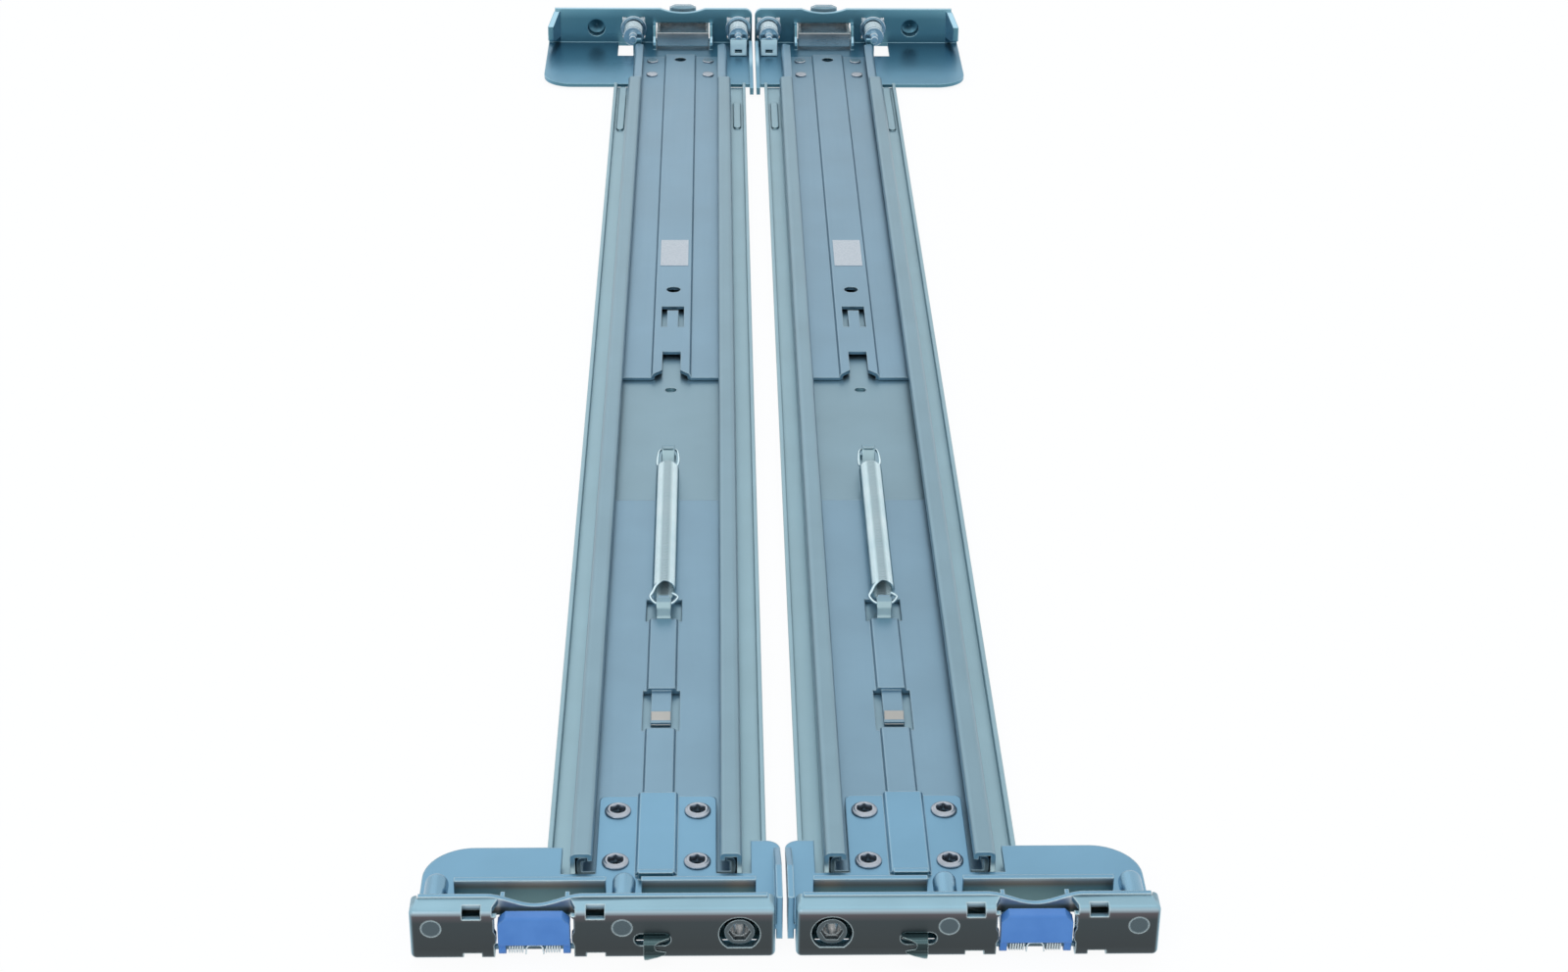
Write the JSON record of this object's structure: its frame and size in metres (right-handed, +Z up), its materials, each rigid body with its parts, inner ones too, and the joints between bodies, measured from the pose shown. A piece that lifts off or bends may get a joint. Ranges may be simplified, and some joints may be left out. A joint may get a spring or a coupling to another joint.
{
  "type": "server rail pair",
  "caption": "Handed pair of slim sliding rack rails with sprung front slides, latching front brackets, extending rear brackets and sprung rear collars",
  "frame": {"origin": "middle of the pair's bounding box, on the floor that both rails lie on", "axes": "+X towards the right rail's outer side seen from the front, +Y along the rails to the rear rack posts, +Z up from the floor"},
  "size_m": [0.1754, 0.644, 0.0178],
  "materials": {
    "zinc_channel": "bright zinc plate, satin, slightly bluish",
    "zinc_slide": "bright zinc plate, satin, light blue",
    "zinc_bracket": "bright zinc plate, smooth, light blue",
    "zinc_rear": "zinc plate, smooth, darker blue green",
    "cover_steel": "zinc plate, satin, grey, bright at its folds",
    "spring_steel": "bright drawn wire and strip",
    "rivet_steel": "bright plated, slightly pink",
    "pin_steel": "turned steel, fine rings",
    "blue_plastic": "moulded, satin mid blue",
    "label_paper": "matt white, bare"
  },
  "bodies": {
    "chassis": {"right_base_channel": "zinc_channel", "right_guide_channel": "zinc_channel", "right_return_spring": "spring_steel", "left_base_channel": "zinc_channel", "left_guide_channel": "zinc_channel", "left_return_spring": "spring_steel"},
    "right_front_slide": {"right_front_slide_plate": "zinc_slide", "right_front_bracket": "zinc_bracket", "right_front_rivets": "rivet_steel", "right_front_cover": "cover_steel", "right_backing_plate": "zinc_bracket", "right_front_pins": "pin_steel", "right_lock_insert": "pin_steel", "right_catch_hook": "spring_steel", "right_latch_axle": "pin_steel", "right_latch_spring": "spring_steel", "right_spring_clip": "spring_steel"},
    "right_front_latch": {"right_release_button": "blue_plastic", "right_latch_arms": "zinc_bracket"},
    "right_rear_slide": {"right_rear_extension": "zinc_slide", "right_rear_rivets": "rivet_steel", "right_blank_label": "label_paper", "right_rear_bracket": "zinc_rear", "right_rear_studs": "pin_steel", "right_rear_latch_axle": "pin_steel", "right_rear_latch_spring": "spring_steel", "right_outer_collar_spring": "spring_steel", "right_inner_collar_spring": "spring_steel"},
    "right_rear_latch": {"right_rear_latch": "zinc_rear"},
    "right_outer_collar": {"right_outer_collar": "pin_steel"},
    "right_inner_collar": {"right_inner_collar": "pin_steel"},
    "left_front_slide": {"left_front_slide_plate": "zinc_slide", "left_front_bracket": "zinc_bracket", "left_front_rivets": "rivet_steel", "left_front_cover": "cover_steel", "left_backing_plate": "zinc_bracket", "left_front_pins": "pin_steel", "left_lock_insert": "pin_steel", "left_catch_hook": "spring_steel", "left_latch_axle": "pin_steel", "left_latch_spring": "spring_steel", "left_spring_clip": "spring_steel"},
    "left_front_latch": {"left_release_button": "blue_plastic", "left_latch_arms": "zinc_bracket"},
    "left_rear_slide": {"left_rear_extension": "zinc_slide", "left_rear_rivets": "rivet_steel", "left_blank_label": "label_paper", "left_rear_bracket": "zinc_rear", "left_rear_studs": "pin_steel", "left_rear_latch_axle": "pin_steel", "left_rear_latch_spring": "spring_steel", "left_outer_collar_spring": "spring_steel", "left_inner_collar_spring": "spring_steel"},
    "left_rear_latch": {"left_rear_latch": "zinc_rear"},
    "left_outer_collar": {"left_outer_collar": "pin_steel"},
    "left_inner_collar": {"left_inner_collar": "pin_steel"}
  },
  "joints": [
    {"name": "right_front_slide_joint", "type": "slide", "parent": "chassis", "child": "right_front_slide", "axis": [0, -1, 0], "range_m": [0, 0.025], "stiffness_N_per_m": 400, "springref_m": -0.004, "deforming": ["right_return_spring"]},
    {"name": "right_rear_slide_joint", "type": "slide", "parent": "chassis", "child": "right_rear_slide", "axis": [0, 1, 0], "range_m": [0, 0.22]},
    {"name": "right_front_latch_hinge", "type": "hinge", "parent": "right_front_slide", "child": "right_front_latch", "pos_m": [0.05875, -0.3157, 0.0021], "axis": [-1, 0, 0], "range_deg": [0, 8], "stiffness_Nm_per_rad": 0.15, "springref_deg": -11.46},
    {"name": "right_rear_latch_hinge", "type": "hinge", "parent": "right_rear_slide", "child": "right_rear_latch", "pos_m": [0.03, 0.3015, 0.0052], "axis": [1, 0, 0], "range_deg": [0, 9], "stiffness_Nm_per_rad": 0.2, "springref_deg": -11.46},
    {"name": "right_outer_collar_joint", "type": "slide", "parent": "right_rear_slide", "child": "right_outer_collar", "axis": [0, -1, 0], "range_m": [0, 0.006], "stiffness_N_per_m": 500, "springref_m": -0.004, "deforming": ["right_outer_collar_spring"]},
    {"name": "right_inner_collar_joint", "type": "slide", "parent": "right_rear_slide", "child": "right_inner_collar", "axis": [0, -1, 0], "range_m": [0, 0.006], "stiffness_N_per_m": 500, "springref_m": -0.004, "deforming": ["right_inner_collar_spring"]},
    {"name": "left_front_slide_joint", "type": "slide", "parent": "chassis", "child": "left_front_slide", "axis": [0, -1, 0], "range_m": [0, 0.025], "stiffness_N_per_m": 400, "springref_m": -0.004, "deforming": ["left_return_spring"]},
    {"name": "left_rear_slide_joint", "type": "slide", "parent": "chassis", "child": "left_rear_slide", "axis": [0, 1, 0], "range_m": [0, 0.22]},
    {"name": "left_front_latch_hinge", "type": "hinge", "parent": "left_front_slide", "child": "left_front_latch", "pos_m": [-0.05875, -0.3157, 0.0021], "axis": [-1, 0, 0], "range_deg": [0, 8], "stiffness_Nm_per_rad": 0.15, "springref_deg": -11.46},
    {"name": "left_rear_latch_hinge", "type": "hinge", "parent": "left_rear_slide", "child": "left_rear_latch", "pos_m": [-0.03, 0.3015, 0.0052], "axis": [1, 0, 0], "range_deg": [0, 9], "stiffness_Nm_per_rad": 0.2, "springref_deg": -11.46},
    {"name": "left_outer_collar_joint", "type": "slide", "parent": "left_rear_slide", "child": "left_outer_collar", "axis": [0, -1, 0], "range_m": [0, 0.006], "stiffness_N_per_m": 500, "springref_m": -0.004, "deforming": ["left_outer_collar_spring"]},
    {"name": "left_inner_collar_joint", "type": "slide", "parent": "left_rear_slide", "child": "left_inner_collar", "axis": [0, -1, 0], "range_m": [0, 0.006], "stiffness_N_per_m": 500, "springref_m": -0.004, "deforming": ["left_inner_collar_spring"]}
  ]
}
